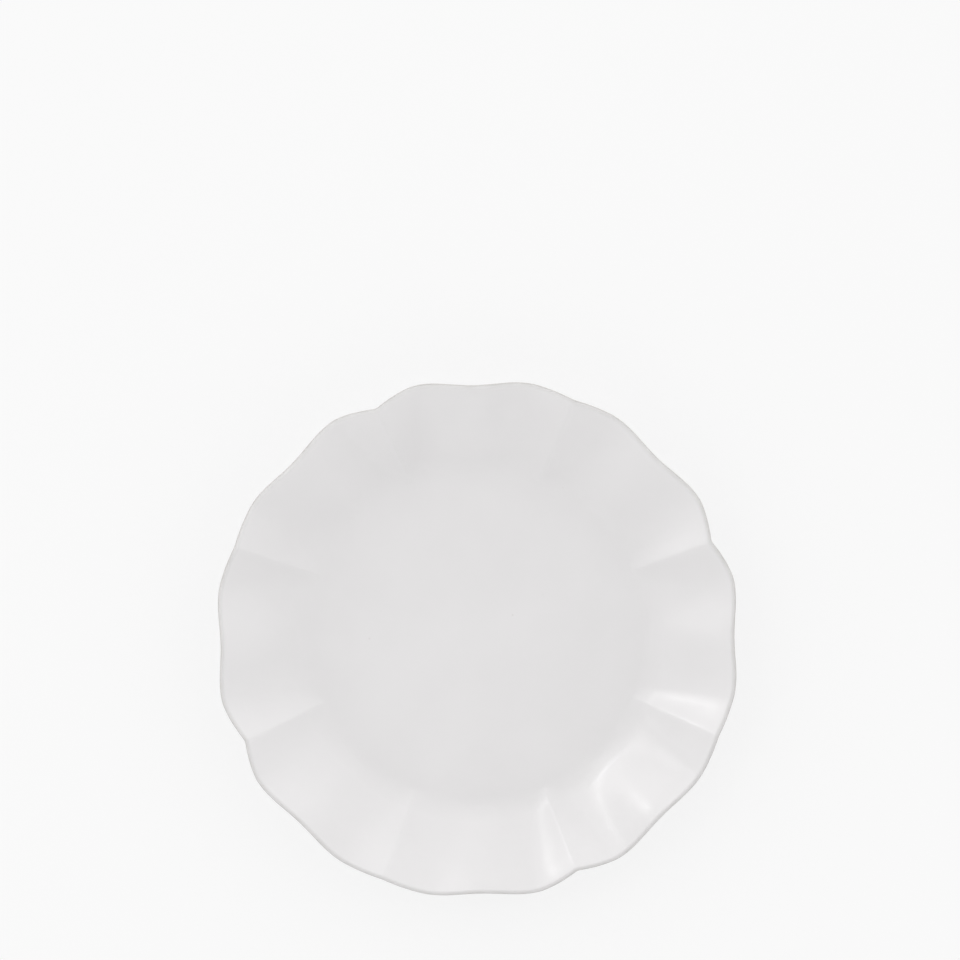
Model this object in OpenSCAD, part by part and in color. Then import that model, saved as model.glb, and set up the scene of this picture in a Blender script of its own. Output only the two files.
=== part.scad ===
// Scalloped dessert plate of glazed stoneware, lying on its foot ring.
// The origin is the middle of the standing plane, +Z is up and the plate faces up.
// Lengths are millimetres and angles are degrees.

/* [Plate] */
// Radius out to the crowns of the scallops
crown_r = 106; // [96:0.5:120]
// Height of the crowns' lip above the table
lip_h = 21; // [18:0.5:28]
// Petals round the rim, an even number
petals = 8; // [6:2:12]

/* [Scallops] */
// How far the lip draws in at the middle of a petal
dip_in = 2.7; // [0.5:0.1:4.5]
// How far the lip draws in at every other crease
deep_notch = 3.9; // [0.5:0.1:6]
// How far the lip draws in at the creases in between
shallow_notch = 1.3; // [0.5:0.1:6]
// How far the lip rises at the middle of a petal
dip_lift = 1.8; // [0.2:0.1:3]
// How far the lip rises at the deep notches
deep_lift = 1.8; // [0.2:0.1:3]
// How far the lip rises at the shallow notches
shallow_lift = 2.2; // [0.2:0.1:3]
// Where a crown lies, from 0 at a petal's middle to 1 at its crease
crown_place = 0.58; // [0.45:0.01:0.75]
// How a petal curves up to its crease, where 1 is straight and 2 a parabola
crease_power = 1.35; // [1.1:0.05:2.6]
// How far outside the well's edge the creases start
crease_start = 3; // [1:0.5:10]
// Share of their full width that the creases start with
crease_narrow = 0.25; // [0.2:0.05:1]
// How the creases widen on the way out, where 1 is evenly and less is sooner
crease_widen = 0.5; // [0.3:0.05:1.5]
// How the creases rise on the way out, in the same measure
crease_rise = 0.7; // [0.4:0.05:1.5]
// How far outside the well's edge the dips in the petals' middles start
dip_start = 4.5; // [1:0.5:15]
// How the dips rise on the way out, in the same measure
dip_rise = 1; // [0.5:0.05:2]
// How far inside the lip the dips and creases reach their full size
flutes_full = 4; // [2:0.5:15]

/* [Well and wall] */
// Radius of the flat well
well_r = 65.5; // [55:0.5:70]
// Radius of the bend from the well up into the rim, held to what the rim has room for
bend_r = 32; // [16:1:44]
// Thickness at the well, glaze included
well_t = 5.2; // [4:0.1:6.5]
// Thickness at the lip, which is round
lip_t = 3.2; // [2.4:0.1:4.5]

/* [Foot ring] */
// How far the foot ring's outer wall stands inside the edge of the well
foot_inset = 4.5; // [1:0.5:12]
// Width of the foot ring
foot_w = 5; // [4:0.1:8]
// Height of the foot ring below the glazed base
foot_h = 3.6; // [2.5:0.1:5]
// Rounding of the foot ring's standing edges
foot_round = 1.2; // [0.4:0.1:1.5]

/* [Glaze] */
// Thickness of the glaze
glaze_t = 0.4; // [0.25:0.05:0.6]
// Turn round the lip at which the face's glaze runs out
face_glaze_end = 80; // [60:1:95]
// Turn round the lip at which the back's glaze starts
back_glaze_start = 130; // [110:1:150]
// Gap between the wiped foot ring and the glaze beside it
glaze_gap = 0.05; // [0.02:0.01:0.3]

/* [Fineness] */
// Steps across one petal
petal_steps = 16; // [8:2:20]
// Steps round the bend
bend_steps = 4; // [3:1:8]
// Steps up the rim
rim_steps = 4; // [3:1:8]
// Steps across each glazed stretch and the bare stretch of the lip
lip_steps = 2; // [2:1:4]
// Steps round each standing edge of the foot ring
foot_steps = 6; // [3:1:10]

/* [Hidden] */
$fn = 128;
clay_colour = "#c3c0ba";
glaze_colour = "#e0dede";

// The wall is drawn as a middle line with half its thickness on either side.
well_half_t = well_t / 2;
lip_half_t = lip_t / 2;
well_mid_z = foot_h + well_half_t;
lip_mid_z = lip_h - lip_half_t;
lip_mid_r = crown_r - lip_half_t;
rim_run = lip_mid_r - well_r;
rim_rise = lip_mid_z - well_mid_z;
// The widest bend would reach the lip itself, and a little of the rim is left straight.
rim_chord_squared = rim_run ^ 2 + rim_rise ^ 2;
held_bend_r = min(bend_r, 0.96 * rim_chord_squared / (2 * rim_rise));
// Slope of the straight rim, which leaves the bend as a tangent and ends at the lip
rim_slope = 2 * atan(rim_rise / (rim_run + sqrt(rim_chord_squared - 2 * held_bend_r * rim_rise)));
bend_end_r = well_r + held_bend_r * sin(rim_slope);
bend_end_z = well_mid_z + held_bend_r * (1 - cos(rim_slope));

foot_outer_r = well_r - foot_inset;
foot_inner_r = foot_outer_r - foot_w;
clay_base_z = foot_h + glaze_t;
clay_floor_z = foot_h + well_t - glaze_t;
floor_z = foot_h + well_t;

around = petals * petal_steps;
// The glaze's straight-sided inner edge clears the round foot ring at its chords.
back_glaze_inner_r = (foot_outer_r + glaze_gap) / cos(180 / around);
half_petal = 180 / petals;

// Share of the dip at a place from 0 at a petal's middle to 1 at its crease
function dip_share(place) = (1 + cos(180 * min(1, place / crown_place))) / 2;

// Share of the crease at the same place, sharp at the crease itself.
// The spread is the share of its full width that the crease has.
function crease_share(place, spread) =
    max(0, 1 - (1 - place) / ((1 - crown_place) * spread)) ^ crease_power;

// Place within its petal of an angle round the plate
function petal_place(angle) =
    abs(angle - round(angle / (2 * half_petal)) * 2 * half_petal) / half_petal;

// The crease nearest to an angle has a deep notch at every other one.
function is_deep(angle) = floor(angle / (2 * half_petal)) % 2 == 0;

// A point of the section is [radius, height, share of the dips, share of the creases, their spread].
// A value for it at an angle has one full size at a petal's middle, and others at its deep and
// its shallow notch.
function scalloped(point, angle, middle, deep, shallow) =
    let (
        place = petal_place(angle),
        notch = is_deep(angle) ? deep : shallow
    )
    middle * point[2] * dip_share(place) + notch * point[3] * crease_share(place, point[4]);

// How far a point of the section draws in and how far it rises at an angle
function draw_in(point, angle) = scalloped(point, angle, dip_in, deep_notch, shallow_notch);
function lift(point, angle) = scalloped(point, angle, dip_lift, deep_lift, shallow_lift);

// The wall's middle line, as [radius, height, slope] for each station from the well to the lip
bend_stations = [
    for (i = [0 : bend_steps])
        let (turn = rim_slope * i / bend_steps)
        [well_r + held_bend_r * sin(turn), well_mid_z + held_bend_r * (1 - cos(turn)), turn]
];
rim_stations = [
    for (i = [1 : rim_steps])
        let (along = i / rim_steps)
        [
            bend_end_r + (lip_mid_r - bend_end_r) * along,
            bend_end_z + (lip_mid_z - bend_end_z) * along,
            rim_slope
        ]
];
stations = concat(bend_stations, rim_stations);

crease_start_r = well_r + crease_start;
dip_start_r = well_r + dip_start;
flutes_full_r = lip_mid_r - flutes_full;

function share_out(station) = (station[0] - well_r) / rim_run;
// Share of the way that a station has come from a start to where the flutes are full
function share_from(start_r, station) =
    max(0, min(1, (station[0] - start_r) / (flutes_full_r - start_r)));
function half_thickness(station) = well_half_t + (lip_half_t - well_half_t) * share_out(station);

// Side 1 is the face and side -1 the back, and depth goes in from the glazed surface.
function wall_point(station, side, depth) =
    let (
        offset = side * (half_thickness(station) - depth),
        along = share_from(crease_start_r, station)
    )
    [
        station[0] - offset * sin(station[2]),
        station[1] + offset * cos(station[2]),
        share_from(dip_start_r, station) ^ dip_rise,
        along ^ crease_rise,
        crease_narrow + (1 - crease_narrow) * along ^ crease_widen
    ];

// A turn of 0 at the lip is the edge of the face, and 180 the edge of the back.
function lip_point(turn, depth) =
    let (reach = lip_half_t - depth)
    [lip_mid_r + reach * sin(turn - rim_slope), lip_mid_z + reach * cos(turn - rim_slope), 1, 1, 1];

// A point where the plate is plainly round
function round_point(radius, height) = [radius, height, 0, 0, 1];

function face_line(depth) = [for (station = stations) wall_point(station, 1, depth)];
function back_line(depth) =
    [for (i = [len(stations) - 1 : -1 : 0]) wall_point(stations[i], -1, depth)];

// Lip points where the face's glaze thins out to nothing, and where the back's glaze builds up
function face_lip(depth) = [
    for (i = [1 : lip_steps])
        let (along = i / lip_steps)
        lip_point(face_glaze_end * along, depth * (1 - along))
];
function bare_lip() = [
    for (i = [1 : lip_steps - 1])
        lip_point(face_glaze_end + (back_glaze_start - face_glaze_end) * i / lip_steps, 0)
];
function back_lip(depth) = [
    for (i = [0 : lip_steps - 1])
        let (along = i / lip_steps)
        lip_point(back_glaze_start + (180 - back_glaze_start) * along, depth * along)
];
function reversed(list) = [for (i = [len(list) - 1 : -1 : 0]) list[i]];

// Points of a section swept once round the plate, with a point on the axis kept single
function at_angle(point, angle) =
    let (
        radius = point[0] - draw_in(point, angle),
        height = point[1] + lift(point, angle)
    )
    [radius * cos(angle), radius * sin(angle), height];
function swept(point) =
    point[0] == 0
        ? [[0, 0, point[1]]]
        : [for (i = [0 : around - 1]) at_angle(point, 360 * i / around)];

// Two triangles for each cell between the rings that start at points a and b.
// A surface that runs back splits its cells the other way, so that glaze and clay match.
function band(a, b, runs_back) = [
    for (i = [0 : around - 1])
        let (next = (i + 1) % around)
        each runs_back
            ? [[a + i, a + next, b + i], [a + next, b + next, b + i]]
            : [[a + i, a + next, b + next], [a + i, b + next, b + i]]
];
function fan(tip, ring, up) = [
    for (i = [0 : around - 1])
        let (next = (i + 1) % around)
        up ? [tip, ring + next, ring + i] : [tip, ring + i, ring + next]
];

// A solid whose section starts and ends on the axis, from its top to its bottom.
// The section runs back towards the axis from ring number turn_ring on.
module axis_solid(section, turn_ring) {
    rings = len(section) - 2;
    last = 1 + rings * around;
    polyhedron(
        points = [for (point = section) each swept(point)],
        faces = concat(
            fan(0, 1, true),
            [for (i = [0 : rings - 2]) each band(1 + i * around, 1 + (i + 1) * around, i >= turn_ring)],
            fan(last, last - around, false)
        )
    );
}

// A solid whose section is a closed loop, clockwise with the radius to the right.
// The section runs back along itself from ring number turn_ring on.
module loop_solid(section, turn_ring) {
    rings = len(section);
    polyhedron(
        points = [for (point = section) each swept(point)],
        faces = [
            for (i = [0 : rings - 1])
                each band(i * around, ((i + 1) % rings) * around, i >= turn_ring)
        ]
    );
}

// Fired clay from the well to the lip, bare only in a narrow line along the lip
module stoneware_body() {
    section = concat(
        [round_point(0, clay_floor_z)],
        face_line(glaze_t),
        face_lip(glaze_t),
        bare_lip(),
        back_lip(glaze_t),
        back_line(glaze_t),
        [round_point(0, clay_base_z)]
    );
    color(clay_colour)
        axis_solid(section, turn_ring = len(section));
}

// Bare clay ring that the plate stands on, with rounded standing edges
module foot_ring() {
    inner_edge = [
        for (i = [0 : foot_steps])
            let (turn = 180 + 90 * i / foot_steps)
            [foot_inner_r + foot_round * (1 + cos(turn)), foot_round * (1 + sin(turn))]
    ];
    outer_edge = [
        for (i = [0 : foot_steps])
            let (turn = 270 + 90 * i / foot_steps)
            [foot_outer_r - foot_round * (1 - cos(turn)), foot_round * (1 + sin(turn))]
    ];
    section = concat(inner_edge, outer_edge, [[foot_outer_r, clay_base_z], [foot_inner_r, clay_base_z]]);
    color(clay_colour)
        rotate_extrude()
            polygon(section);
}

// White glaze over the well and the fluted rim, thinning out over the lip
module face_glaze() {
    outer = concat(face_line(0), face_lip(0));
    inner = concat(face_line(glaze_t), [for (i = [0 : lip_steps - 2]) face_lip(glaze_t)[i]]);
    section = concat(
        [round_point(0, floor_z)], outer, reversed(inner), [round_point(0, clay_floor_z)]
    );
    color(glaze_colour)
        axis_solid(section, turn_ring = len(outer) - 1);
}

// White glaze on the back, from the lip down to the wiped foot ring
module back_glaze() {
    outer = concat(back_lip(0), back_line(0), [round_point(back_glaze_inner_r, foot_h)]);
    inner = concat(
        [for (i = [1 : lip_steps - 1]) back_lip(glaze_t)[i]],
        back_line(glaze_t),
        [round_point(back_glaze_inner_r, clay_base_z)]
    );
    color(glaze_colour)
        loop_solid(concat(outer, reversed(inner)), turn_ring = len(outer) - 1);
}

// White glaze on the base inside the foot ring
module base_glaze() {
    color(glaze_colour)
        translate([0, 0, foot_h])
            cylinder(r = foot_inner_r - glaze_gap, h = glaze_t);
}

stoneware_body();
foot_ring();
face_glaze();
back_glaze();
base_glaze();
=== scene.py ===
import math
from collections import namedtuple

import bpy
from mathutils import Matrix, Vector, noise


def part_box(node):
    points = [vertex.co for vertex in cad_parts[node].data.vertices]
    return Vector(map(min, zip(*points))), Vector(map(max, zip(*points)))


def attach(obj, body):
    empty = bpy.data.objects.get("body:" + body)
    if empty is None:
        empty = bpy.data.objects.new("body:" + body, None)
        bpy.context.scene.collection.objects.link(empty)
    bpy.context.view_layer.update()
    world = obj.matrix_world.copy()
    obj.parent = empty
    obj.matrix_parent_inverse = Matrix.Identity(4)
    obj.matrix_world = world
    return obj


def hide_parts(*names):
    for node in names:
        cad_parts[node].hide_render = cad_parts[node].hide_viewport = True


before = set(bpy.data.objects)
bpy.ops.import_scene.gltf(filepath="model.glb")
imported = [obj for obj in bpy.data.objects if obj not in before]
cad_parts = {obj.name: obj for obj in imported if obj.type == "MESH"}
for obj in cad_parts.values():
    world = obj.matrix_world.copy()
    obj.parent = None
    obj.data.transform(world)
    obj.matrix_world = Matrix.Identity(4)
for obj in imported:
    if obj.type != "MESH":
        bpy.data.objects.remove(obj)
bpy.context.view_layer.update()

# Sizes of the plate in metres, the same as the solids have
MM = 0.001
PETALS = 8
CROWN_R = 106 * MM
LIP_H = 21 * MM
DIP_IN = 2.7 * MM
DEEP_NOTCH = 3.9 * MM
SHALLOW_NOTCH = 1.3 * MM
DIP_LIFT = 1.8 * MM
DEEP_LIFT = 1.8 * MM
SHALLOW_LIFT = 2.2 * MM
CROWN_PLACE = 0.58
CREASE_POWER = 1.35
CREASE_START = 3 * MM
CREASE_NARROW = 0.25
CREASE_WIDEN = 0.5
CREASE_RISE = 0.7
DIP_START = 4.5 * MM
DIP_RISE = 1.0
FLUTES_FULL = 4 * MM
WELL_R = 65.5 * MM
BEND_R = 32 * MM
LIP_HALF_T = 1.6 * MM
FACE_GLAZE_END = math.radians(80)
BACK_GLAZE_START = math.radians(130)
FOOT_ROUND = 1.2 * MM

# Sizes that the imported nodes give
base_low, base_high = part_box("base_glaze")
foot_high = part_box("foot_ring")[1]
FOOT_H = base_low.z
CLAY_BASE_Z = foot_high.z
GLAZE_T = CLAY_BASE_Z - FOOT_H
FLOOR_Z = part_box("face_glaze")[0].z + GLAZE_T
FOOT_OUTER_R = foot_high.x
FOOT_INNER_R = base_high.x
WELL_HALF_T = (FLOOR_Z - FOOT_H) / 2

# What only the dressed plate has: soft creases, glaze that pools beside the foot ring,
# and the slight unevenness of a plate pressed by hand
CREASE_ROUND = 0.02
POOL_R = 1.4 * MM
UNEVEN_DEPTH = 0.3 * MM
UNEVEN_SIZE = 24 * MM

# Fineness of the meshes
HALF_PETAL_STEPS = 20
CREASE_CROWDING = 1.5
WELL_STEPS = 10
BEND_STEPS = 18
RIM_STEPS = 14
LIP_STEPS = 8
ROUND_STEPS = 8

# The rim as a middle line that leaves the well in a bend and ends at the lip
HALF_PETAL = math.pi / PETALS
WELL_MID_Z = FOOT_H + WELL_HALF_T
LIP_MID_R = CROWN_R - LIP_HALF_T
LIP_MID_Z = LIP_H - LIP_HALF_T
RIM_RUN = LIP_MID_R - WELL_R
RIM_RISE = LIP_MID_Z - WELL_MID_Z
RIM_SLOPE = 2 * math.atan(
    RIM_RISE / (RIM_RUN + math.sqrt(RIM_RUN**2 + RIM_RISE**2 - 2 * BEND_R * RIM_RISE))
)
BEND_END_R = WELL_R + BEND_R * math.sin(RIM_SLOPE)
BEND_END_Z = WELL_MID_Z + BEND_R * (1 - math.cos(RIM_SLOPE))
CREASE_START_R = WELL_R + CREASE_START
DIP_START_R = WELL_R + DIP_START
FLUTES_FULL_R = LIP_MID_R - FLUTES_FULL

# The photograph's frame, in its pixels, and the view that it was taken from
PHOTO_PX = 960
RIM_CENTRE_PX = (477.5, 641.4)
CROWN_PX = 263.4
CAMERA_TILT = math.radians(8.9)
PLATE_TURN = math.radians(0.9)
CAMERA_DISTANCE = 1.3

# Colours
GLAZE_LIGHT = (0.757, 0.746, 0.749)
GLAZE_DARK = (0.737, 0.726, 0.729)
GLAZE_THIN = (0.53, 0.521, 0.512)
GLAZE_SPECK = (0.4, 0.37, 0.34)
LIP_LIGHT = (0.595, 0.582, 0.565)
LIP_DARK = (0.515, 0.502, 0.485)
CLAY_LIGHT = (0.585, 0.56, 0.52)
CLAY_DARK = (0.505, 0.485, 0.455)
CLAY_TOASTED = (0.5, 0.43, 0.35)
CLAY_GRIT = (0.2, 0.17, 0.14)
CLAY_SAND = (0.72, 0.69, 0.63)
FLOOR_COLOUR = (0.95, 0.95, 0.95)

# Patches and bumps in the glaze and the clay: how wide and how deep they are
CLOUD_SIZE = 28 * MM
PATCH_SIZE = 6 * MM
RIPPLE_SIZE = 9 * MM
RIPPLE_DEPTH = 0.2 * MM
PEEL_SIZE = 2.2 * MM
PEEL_DEPTH = 0.02 * MM
PINHOLE_DEPTH = 0.08 * MM
STREAK_SIZE = 5 * MM
LIP_GRAIN_SIZE = 0.8 * MM
LIP_GRAIN_DEPTH = 0.03 * MM
BLOTCH_SIZE = 12 * MM
CLAY_GRAIN_SIZE = 0.5 * MM
CLAY_GRAIN_DEPTH = 0.12 * MM
GRIT_HEIGHT = 0.1 * MM

# Specks: their spacing, their radius and the share of the places that have one
Specks = namedtuple("Specks", "spacing radius chosen")
GLAZE_SPECKS = Specks(13 * MM, 0.55 * MM, 0.22)
PINHOLES = Specks(9 * MM, 0.32 * MM, 0.25)
DARK_GRITS = Specks(2.2 * MM, 0.3 * MM, 0.4)
PALE_GRITS = Specks(1.6 * MM, 0.25 * MM, 0.3)

# The range that most values of soft noise lie in
NOISE_LOW = 0.3
NOISE_HIGH = 0.7

# Half the floor's width in metres
FLOOR_HALF = 3.0

# Light. The floor and the backdrop show at the background's level, and a share of the floor is
# lit, so that it keeps the shadow. The dome's level is its strength at the horizon, with shares
# added along +Y, along +Z and with the square of +Z
BACKGROUND = 0.946
SHADOW_SHARE = 0.18
DOME_LEVEL = 1.7
DOME_BACK = 0.165
DOME_RISE = 0.23
DOME_OVERHEAD = -1.18

# Lamps: their direction from the plate, their distance and width in metres, and their watts.
# The spark hangs in front of the core, because two lamps in one plane don't both show in the gloss
Lamp = namedtuple("Lamp", "name direction distance width watts")
LAMPS = (
    Lamp("key", (-0.62, 0.485, 0.616), 2.0, 1.3, 1.8),
    Lamp("core", (-0.509, 0.294, 0.809), 2.0, 0.4, 0.44),
    Lamp("spark", (-0.509, 0.294, 0.809), 1.9, 0.13, 0.18),
    Lamp("high", (-0.383, 0.321, 0.866), 2.0, 0.9, 1.2),
    Lamp("side", (-0.707, 0.0, 0.707), 2.0, 0.4, 0.32),
    Lamp("front", (0.0, -0.819, 0.574), 2.0, 0.7, 0.5),
)

Station = namedtuple("Station", "radius height slope")
# Shares at a point: of the petals' dips, of the creases and their width, of the unevenness,
# and of how far the glaze has thinned
SectionPoint = namedtuple("SectionPoint", "radius height dip crease spread uneven thin")


def scallop(angle, point, middle, deep, shallow):
    """Value at an angle: most on a petal's middle and on each crease, and 0 between them."""
    turns = angle / (2 * HALF_PETAL)
    place = abs(turns - round(turns)) * 2
    dip = (1 + math.cos(math.pi * min(1.0, place / CROWN_PLACE))) / 2
    from_crease = math.hypot(1 - place, CREASE_ROUND * point.spread)
    crease_width = (1 - CROWN_PLACE) * point.spread
    crease = max(0.0, 1 - from_crease / crease_width) ** CREASE_POWER
    notch = deep if math.floor(turns) % 2 == 0 else shallow
    return middle * point.dip * dip + notch * point.crease * crease


def ring_angles():
    """Angles round the plate, crowded towards the creases."""
    places = [
        1 - (1 - i / HALF_PETAL_STEPS) ** CREASE_CROWDING for i in range(HALF_PETAL_STEPS + 1)
    ]
    angles = []
    for petal in range(PETALS):
        middle = 2 * petal * HALF_PETAL
        angles += [middle + place * HALF_PETAL for place in places[:-1]]
        angles += [middle + (2 - place) * HALF_PETAL for place in places[:0:-1]]
    return angles


ANGLES = ring_angles()
AROUND = len(ANGLES)


def sunk_by(point, x, y):
    """How far the plate's unevenness lowers a section point at a place."""
    share = (1 + noise.noise(Vector((x, y, 0)) / UNEVEN_SIZE)) / 2
    return point.uneven * UNEVEN_DEPTH * share


def well_stations():
    """The flat middle line from near the axis to near the edge of the well."""
    radii = [WELL_R * i / WELL_STEPS for i in range(1, WELL_STEPS)]
    return [Station(radius, WELL_MID_Z, 0.0) for radius in radii]


def rim_stations():
    """The wall's middle line from the edge of the well to the lip."""
    stations = []
    for i in range(BEND_STEPS + 1):
        turn = RIM_SLOPE * i / BEND_STEPS
        radius = WELL_R + BEND_R * math.sin(turn)
        stations.append(Station(radius, WELL_MID_Z + BEND_R * (1 - math.cos(turn)), turn))
    for i in range(1, RIM_STEPS + 1):
        along = i / RIM_STEPS
        radius = BEND_END_R + (LIP_MID_R - BEND_END_R) * along
        height = BEND_END_Z + (LIP_MID_Z - BEND_END_Z) * along
        stations.append(Station(radius, height, RIM_SLOPE))
    return stations


RIM_LINE = rim_stations()
FACE_LINE = well_stations() + RIM_LINE


def share_between(value, low, high):
    return max(0.0, min(1.0, (value - low) / (high - low)))


def wall_point(station, side, depth):
    """A point of the face, side 1, or the back, side -1, at a depth below the glazed surface."""
    share = max(0.0, (station.radius - WELL_R) / RIM_RUN)
    offset = side * (WELL_HALF_T + (LIP_HALF_T - WELL_HALF_T) * share - depth)
    dip = share_between(station.radius, DIP_START_R, FLUTES_FULL_R) ** DIP_RISE
    along = share_between(station.radius, CREASE_START_R, FLUTES_FULL_R)
    spread = CREASE_NARROW + (1 - CREASE_NARROW) * along**CREASE_WIDEN
    uneven = 1.0 if side == 1 else along
    radius = station.radius - offset * math.sin(station.slope)
    height = station.height + offset * math.cos(station.slope)
    return SectionPoint(radius, height, dip, along**CREASE_RISE, spread, uneven, 0.0)


def lip_point(turn, depth, thin):
    """A point round the lip, from a turn of 0 at the face to pi at the back."""
    reach = LIP_HALF_T - depth
    radius = LIP_MID_R + reach * math.sin(turn - RIM_SLOPE)
    height = LIP_MID_Z + reach * math.cos(turn - RIM_SLOPE)
    return SectionPoint(radius, height, 1.0, 1.0, 1.0, 1.0, thin)


def face_line(depth):
    return [wall_point(station, 1, depth) for station in FACE_LINE]


def back_line(depth):
    return [wall_point(station, -1, depth) for station in reversed(RIM_LINE)]


def face_lip(depth):
    """Lip points from the face to the line where its glaze has thinned out."""
    shares = [i / LIP_STEPS for i in range(1, LIP_STEPS + 1)]
    return [lip_point(FACE_GLAZE_END * share, depth * (1 - share), share) for share in shares]


def bare_lip():
    shares = [i / LIP_STEPS for i in range(1, LIP_STEPS)]
    span = BACK_GLAZE_START - FACE_GLAZE_END
    return [lip_point(FACE_GLAZE_END + span * share, 0.0, 1.0) for share in shares]


def back_lip(depth):
    """Lip points from the line where the back's glaze starts to the back."""
    shares = [i / LIP_STEPS for i in range(LIP_STEPS)]
    span = math.pi - BACK_GLAZE_START
    return [
        lip_point(BACK_GLAZE_START + span * share, depth * share, 1 - share) for share in shares
    ]


def flat_point(radius, height):
    return SectionPoint(radius, height, 0.0, 0.0, 1.0, 0.0, 0.0)


def face_middle(depth):
    """The point of the face on the axis."""
    return SectionPoint(0, FLOOR_Z - depth, 0.0, 0.0, 1.0, 1.0, 0.0)


def new_piece(name, verts, faces, replaced, material):
    """A smooth mesh piece that stands for a node and moves with the plate."""
    mesh = bpy.data.meshes.new(name)
    mesh.from_pydata(verts, [], faces)
    mesh.polygons.foreach_set("use_smooth", [True] * len(mesh.polygons))
    mesh.materials.append(material)
    piece = bpy.data.objects.new(name, mesh)
    bpy.context.scene.collection.objects.link(piece)
    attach(piece, "root")
    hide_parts(replaced)
    return piece


def ring_faces(rings, loop):
    """Faces that join each ring of points to the next, and in a loop the last to the first."""
    faces = []
    for ring in range(rings if loop else rings - 1):
        here = ring * AROUND
        there = (ring + 1) % rings * AROUND
        for i in range(AROUND):
            j = (i + 1) % AROUND
            faces.append((here + i, there + i, there + j, here + j))
    return faces


def swept_piece(name, section, loop, replaced, material):
    """A section swept round the plate, either a closed loop or one that ends on the axis twice."""
    rings = section if loop else section[1:-1]
    verts = []
    thin = []
    for point in rings:
        for angle in ANGLES:
            drawn = scallop(angle, point, DIP_IN, DEEP_NOTCH, SHALLOW_NOTCH)
            lifted = scallop(angle, point, DIP_LIFT, DEEP_LIFT, SHALLOW_LIFT)
            radius = point.radius - drawn
            x = radius * math.cos(angle)
            y = radius * math.sin(angle)
            verts.append((x, y, point.height + lifted - sunk_by(point, x, y)))
            thin.append(point.thin)
    faces = ring_faces(len(rings), loop)
    if not loop:
        top = len(verts)
        bottom = top + 1
        last = (len(rings) - 1) * AROUND
        for point in (section[0], section[-1]):
            verts.append((0, 0, point.height - sunk_by(point, 0, 0)))
            thin.append(point.thin)
        for i in range(AROUND):
            j = (i + 1) % AROUND
            faces.append((top, i, j))
            faces.append((bottom, last + j, last + i))
    piece = new_piece(name, verts, faces, replaced, material)
    piece.data.attributes.new("thin", "FLOAT", "POINT").data.foreach_set("value", thin)


def pooled_edge(wall_r, side):
    """Glaze that curves down a wall of the foot ring, on the inside of the ring for side 1."""
    points = []
    for i in range(ROUND_STEPS + 1):
        turn = math.pi / 2 * i / ROUND_STEPS
        radius = wall_r - side * POOL_R * (1 - math.sin(turn))
        points.append(flat_point(radius, FOOT_H - POOL_R * (1 - math.cos(turn))))
    return points


def stoneware_body(material):
    section = [face_middle(GLAZE_T)] + face_line(GLAZE_T) + face_lip(GLAZE_T)
    section += bare_lip() + back_lip(GLAZE_T) + back_line(GLAZE_T) + [flat_point(0, CLAY_BASE_Z)]
    swept_piece("clay_body", section, False, "stoneware_body", material)


def face_glaze(material):
    outer = face_line(0.0) + face_lip(0.0)
    inner = face_line(GLAZE_T) + face_lip(GLAZE_T)[:-1]
    section = [face_middle(0.0)] + outer + inner[::-1] + [face_middle(GLAZE_T)]
    swept_piece("face_glaze_coat", section, False, "face_glaze", material)


def back_glaze(material):
    outer = back_lip(0.0) + back_line(0.0) + pooled_edge(FOOT_OUTER_R, -1)
    inner = back_lip(GLAZE_T)[1:] + back_line(GLAZE_T) + [flat_point(FOOT_OUTER_R, CLAY_BASE_Z)]
    section = outer + inner[::-1]
    swept_piece("back_glaze_coat", section, True, "back_glaze", material)


def base_glaze(material):
    pool = pooled_edge(FOOT_INNER_R, 1)[::-1]
    section = [flat_point(0, CLAY_BASE_Z), flat_point(FOOT_INNER_R, CLAY_BASE_Z)] + pool
    section.append(flat_point(0, FOOT_H))
    swept_piece("base_glaze_coat", section, False, "base_glaze", material)


def foot_ring(material):
    section = [flat_point(FOOT_INNER_R, CLAY_BASE_Z), flat_point(FOOT_OUTER_R, CLAY_BASE_Z)]
    for wall_r, side in ((FOOT_OUTER_R, 1), (FOOT_INNER_R, -1)):
        turns = [math.pi / 2 * i / ROUND_STEPS for i in range(ROUND_STEPS + 1)]
        edge = [
            flat_point(
                wall_r - side * FOOT_ROUND * (1 - math.cos(turn)),
                FOOT_ROUND * (1 - math.sin(turn)),
            )
            for turn in turns
        ]
        section += edge if side == 1 else edge[::-1]
    swept_piece("foot_ring_clay", section, True, "foot_ring", material)


def new_material(name, roughness):
    """An empty material with its tree and its principled shader."""
    material = bpy.data.materials.new(name)
    material.use_nodes = True
    tree = material.node_tree
    shader = tree.nodes["Principled BSDF"]
    shader.inputs["Roughness"].default_value = roughness
    return material, tree, shader


def add_node(tree, kind, **values):
    """A node with inputs set by name, or its own settings where it has no such input."""
    node = tree.nodes.new(kind)
    for key, value in values.items():
        label = key.replace("_", " ")
        if label in node.inputs:
            node.inputs[label].default_value = value
        else:
            setattr(node, key, value)
    return node


def object_place(tree):
    """Places in a piece's own frame, in metres, so that patterns stay on it."""
    return tree.nodes.new("ShaderNodeTexCoord").outputs["Object"]


def add_noise(tree, place, size, detail):
    """Soft noise from 0 to 1 whose patches are about a size across."""
    texture = add_node(tree, "ShaderNodeTexNoise", Scale=1 / size, Detail=detail)
    tree.links.new(place, texture.inputs["Vector"])
    return texture.outputs["Fac"]


def add_range(tree, value, low, high, to_low, to_high):
    """A value mapped from one range to another, and held inside it."""
    node = add_node(tree, "ShaderNodeMapRange")
    limits = {"From Min": low, "From Max": high, "To Min": to_low, "To Max": to_high}
    for label, number in limits.items():
        node.inputs[label].default_value = number
    tree.links.new(value, node.inputs["Value"])
    return node.outputs["Result"]


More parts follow.
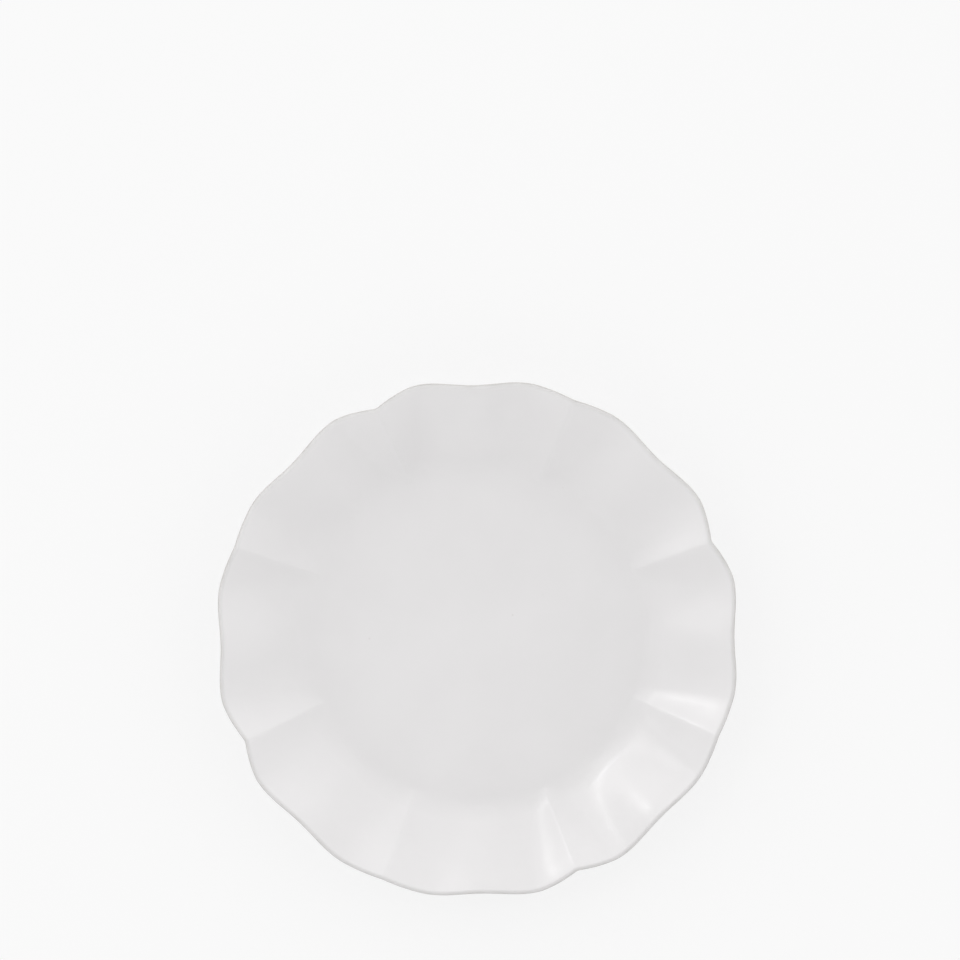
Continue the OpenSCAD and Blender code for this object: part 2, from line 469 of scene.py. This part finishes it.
def add_patches(tree, place, size, detail, low, high):
    """Soft patches about a size across, spread from a low value to a high one."""
    soft = add_noise(tree, place, size, detail)
    return add_range(tree, soft, NOISE_LOW, NOISE_HIGH, low, high)


def add_math(tree, operation, first, second):
    """Two values combined. The second may be a plain number."""
    node = add_node(tree, "ShaderNodeMath", operation=operation)
    tree.links.new(first, node.inputs[0])
    if isinstance(second, (int, float)):
        node.inputs[1].default_value = second
    else:
        tree.links.new(second, node.inputs[1])
    return node.outputs["Value"]


def add_mix(tree, share, first, second):
    """A colour between two, each a colour or a socket."""
    node = add_node(tree, "ShaderNodeMix", data_type="RGBA")
    tree.links.new(share, node.inputs["Factor"])
    for label, colour in (("A", first), ("B", second)):
        socket = next(s for s in node.inputs if s.name == label and s.type == "RGBA")
        if isinstance(colour, tuple):
            socket.default_value = (*colour, 1)
        else:
            tree.links.new(colour, socket)
    return next(s for s in node.outputs if s.type == "RGBA")


def add_attribute(tree, name):
    return add_node(tree, "ShaderNodeAttribute", attribute_name=name).outputs["Fac"]


def add_bump(tree, shader, layers):
    """Bumps laid one on another, each a height, its depth in metres and its strength."""
    below = None
    for height, depth, strength in layers:
        bump = add_node(tree, "ShaderNodeBump", Strength=strength, Distance=depth)
        tree.links.new(height, bump.inputs["Height"])
        if below:
            tree.links.new(below, bump.inputs["Normal"])
        below = bump.outputs["Normal"]
    tree.links.new(below, shader.inputs["Normal"])


def add_specks(tree, place, specks):
    """1 inside small round specks, which only some cells of a loose grid have, and 0 elsewhere."""
    cells = add_node(tree, "ShaderNodeTexVoronoi", Scale=1 / specks.spacing)
    tree.links.new(place, cells.inputs["Vector"])
    edge = specks.radius / specks.spacing
    near = add_range(tree, cells.outputs["Distance"], edge, 0.5 * edge, 0, 1)
    chosen = specks.chosen
    pick = add_range(tree, cells.outputs["Color"], 1 - chosen, 1 - 0.8 * chosen, 0, 1)
    return add_math(tree, "MULTIPLY", near, pick)


def glaze_material():
    """White gloss glaze: faint clouds, specks and pinholes, and grey where it thins at the lip."""
    material, tree, shader = new_material("white_glaze", 0.12)
    place = object_place(tree)
    clouds = add_patches(tree, place, CLOUD_SIZE, 3, 0, 1)
    colour = add_mix(tree, clouds, GLAZE_LIGHT, GLAZE_DARK)
    patchy = add_patches(tree, place, PATCH_SIZE, 2, 0.8, 1.1)
    thin = add_math(tree, "MULTIPLY", add_attribute(tree, "thin"), patchy)
    colour = add_mix(tree, add_math(tree, "POWER", thin, 1.2), colour, GLAZE_THIN)
    specks = add_specks(tree, place, GLAZE_SPECKS)
    pinholes = add_specks(tree, place, PINHOLES)
    colour = add_mix(tree, add_math(tree, "MULTIPLY", specks, 0.35), colour, GLAZE_SPECK)
    colour = add_mix(tree, add_math(tree, "MULTIPLY", pinholes, 0.4), colour, GLAZE_SPECK)
    tree.links.new(colour, shader.inputs["Base Color"])
    tree.links.new(add_range(tree, clouds, 0, 1, 0.1, 0.17), shader.inputs["Roughness"])
    ripple = add_noise(tree, place, RIPPLE_SIZE, 1)
    peel = add_noise(tree, place, PEEL_SIZE, 2)
    pits = add_math(tree, "MULTIPLY", pinholes, -1.0)
    layers = [(ripple, RIPPLE_DEPTH, 0.5), (peel, PEEL_DEPTH, 0.3), (pits, PINHOLE_DEPTH, 0.5)]
    add_bump(tree, shader, layers)
    return material


def lip_material():
    """Clay that shows through the last trace of glaze: grey, streaked and half glossy."""
    material, tree, shader = new_material("lip_clay", 0.35)
    place = object_place(tree)
    streaks = add_patches(tree, place, STREAK_SIZE, 4, 0, 1)
    tree.links.new(add_mix(tree, streaks, LIP_LIGHT, LIP_DARK), shader.inputs["Base Color"])
    tree.links.new(add_range(tree, streaks, 0, 1, 0.28, 0.45), shader.inputs["Roughness"])
    grain = add_noise(tree, place, LIP_GRAIN_SIZE, 3)
    add_bump(tree, shader, [(grain, LIP_GRAIN_DEPTH, 0.4)])
    return material


def clay_material():
    """Bare fired clay: sandy grain, dark and pale grits, and a warmer tone beside the glaze."""
    material, tree, shader = new_material("bare_clay", 0.8)
    place = object_place(tree)
    blotches = add_patches(tree, place, BLOTCH_SIZE, 4, 0, 1)
    colour = add_mix(tree, blotches, CLAY_LIGHT, CLAY_DARK)
    axes = tree.nodes.new("ShaderNodeSeparateXYZ")
    tree.links.new(place, axes.inputs["Vector"])
    toasted = add_range(tree, axes.outputs["Z"], 0.4 * FOOT_H, FOOT_H, 0, 0.6)
    colour = add_mix(tree, toasted, colour, CLAY_TOASTED)
    dark_grits = add_specks(tree, place, DARK_GRITS)
    pale_grits = add_specks(tree, place, PALE_GRITS)
    colour = add_mix(tree, add_math(tree, "MULTIPLY", dark_grits, 0.6), colour, CLAY_GRIT)
    colour = add_mix(tree, add_math(tree, "MULTIPLY", pale_grits, 0.5), colour, CLAY_SAND)
    tree.links.new(colour, shader.inputs["Base Color"])
    tree.links.new(add_range(tree, blotches, 0, 1, 0.72, 0.88), shader.inputs["Roughness"])
    grain = add_noise(tree, place, CLAY_GRAIN_SIZE, 4)
    add_bump(tree, shader, [(grain, CLAY_GRAIN_DEPTH, 0.5), (pale_grits, GRIT_HEIGHT, 0.4)])
    return material


def add_seen(tree):
    """1 where the camera looks, straight or by way of gloss or glass, and 0 for other light."""
    rays = tree.nodes.new("ShaderNodeLightPath").outputs
    seen = add_math(tree, "MAXIMUM", rays["Is Camera Ray"], rays["Is Glossy Ray"])
    return add_math(tree, "MAXIMUM", seen, rays["Is Transmission Ray"])


def floor_material():
    """Pale matt floor that shows near white and keeps a share of the plate's shadow."""
    material, tree, shader = new_material("pale_floor", 1.0)
    shader.inputs["Base Color"].default_value = (*FLOOR_COLOUR, 1)
    shader.inputs["Specular IOR Level"].default_value = 0.0
    glow = add_node(tree, "ShaderNodeEmission", Color=(1, 1, 1, 1), Strength=BACKGROUND)
    mix = tree.nodes.new("ShaderNodeMixShader")
    tree.links.new(add_math(tree, "MULTIPLY", add_seen(tree), 1 - SHADOW_SHARE), mix.inputs["Fac"])
    tree.links.new(shader.outputs["BSDF"], mix.inputs[1])
    tree.links.new(glow.outputs["Emission"], mix.inputs[2])
    tree.links.new(mix.outputs["Shader"], tree.nodes["Material Output"].inputs["Surface"])
    return material


def add_floor(material):
    mesh = bpy.data.meshes.new("floor")
    signs = ((-1, -1), (1, -1), (1, 1), (-1, 1))
    corners = [(x * FLOOR_HALF, y * FLOOR_HALF, 0) for x, y in signs]
    mesh.from_pydata(corners, [], [(0, 1, 2, 3)])
    mesh.materials.append(material)
    floor = bpy.data.objects.new("floor", mesh)
    bpy.context.scene.collection.objects.link(floor)


def add_world():
    """Soft light from all round, more from the sides and from +Y than from straight above."""
    world = bpy.data.worlds.new("studio")
    world.use_nodes = True
    tree = world.node_tree
    light = tree.nodes["Background"]
    axes = tree.nodes.new("ShaderNodeSeparateXYZ")
    directions = tree.nodes.new("ShaderNodeTexCoord").outputs["Generated"]
    tree.links.new(directions, axes.inputs["Vector"])
    up = axes.outputs["Z"]
    climb = add_math(tree, "ADD", add_math(tree, "MULTIPLY", up, DOME_OVERHEAD), DOME_RISE)
    level = add_math(tree, "ADD", add_math(tree, "MULTIPLY", up, climb), 1.0)
    level = add_math(tree, "ADD", level, add_math(tree, "MULTIPLY", axes.outputs["Y"], DOME_BACK))
    tree.links.new(add_math(tree, "MULTIPLY", level, DOME_LEVEL), light.inputs["Strength"])
    light.inputs["Color"].default_value = (1, 1, 1, 1)
    pale = add_node(tree, "ShaderNodeBackground", Color=(1, 1, 1, 1), Strength=BACKGROUND)
    mix = tree.nodes.new("ShaderNodeMixShader")
    tree.links.new(add_seen(tree), mix.inputs["Fac"])
    tree.links.new(light.outputs["Background"], mix.inputs[1])
    tree.links.new(pale.outputs["Background"], mix.inputs[2])
    tree.links.new(mix.outputs["Shader"], tree.nodes["World Output"].inputs["Surface"])
    bpy.context.scene.world = world


def add_softbox(lamp):
    """A square lamp turned to the plate."""
    light = bpy.data.lights.new(lamp.name, "AREA")
    light.shape = "SQUARE"
    light.size = lamp.width
    light.energy = lamp.watts
    holder = bpy.data.objects.new(lamp.name, light)
    towards = Vector(lamp.direction).normalized()
    holder.location = towards * lamp.distance
    holder.rotation_euler = towards.to_track_quat("Z", "Y").to_euler()
    bpy.context.scene.collection.objects.link(holder)


def add_camera():
    """The camera at the photograph's angle, with the rim's centre at its place in the picture."""
    focal_px = CROWN_PX * CAMERA_DISTANCE / CROWN_R
    right = Vector((math.cos(PLATE_TURN), -math.sin(PLATE_TURN), 0))
    up = Vector((math.sin(PLATE_TURN), math.cos(PLATE_TURN), 0))
    back = up * math.sin(CAMERA_TILT) + Vector((0, 0, 1)) * math.cos(CAMERA_TILT)
    square_on = Matrix((right, back.cross(right), back)).transposed()
    half_px = PHOTO_PX / 2
    sight = Vector((RIM_CENTRE_PX[0] - half_px, half_px - RIM_CENTRE_PX[1], -focal_px))
    aside = sight.rotation_difference(Vector((0, 0, -1))).to_matrix()
    camera = bpy.data.cameras.new("camera")
    camera.lens = focal_px * camera.sensor_width / PHOTO_PX
    holder = bpy.data.objects.new("camera", camera)
    place = Vector((0, 0, LIP_H)) + back * CAMERA_DISTANCE
    holder.matrix_world = Matrix.Translation(place) @ (square_on @ aside).to_4x4()
    bpy.context.scene.collection.objects.link(holder)
    bpy.context.scene.camera = holder


add_camera()
glaze = glaze_material()
clay = clay_material()
stoneware_body(lip_material())
face_glaze(glaze)
back_glaze(glaze)
base_glaze(glaze)
foot_ring(clay)
add_floor(floor_material())
add_world()
for lamp in LAMPS:
    add_softbox(lamp)
bpy.context.scene.view_settings.view_transform = "Standard"
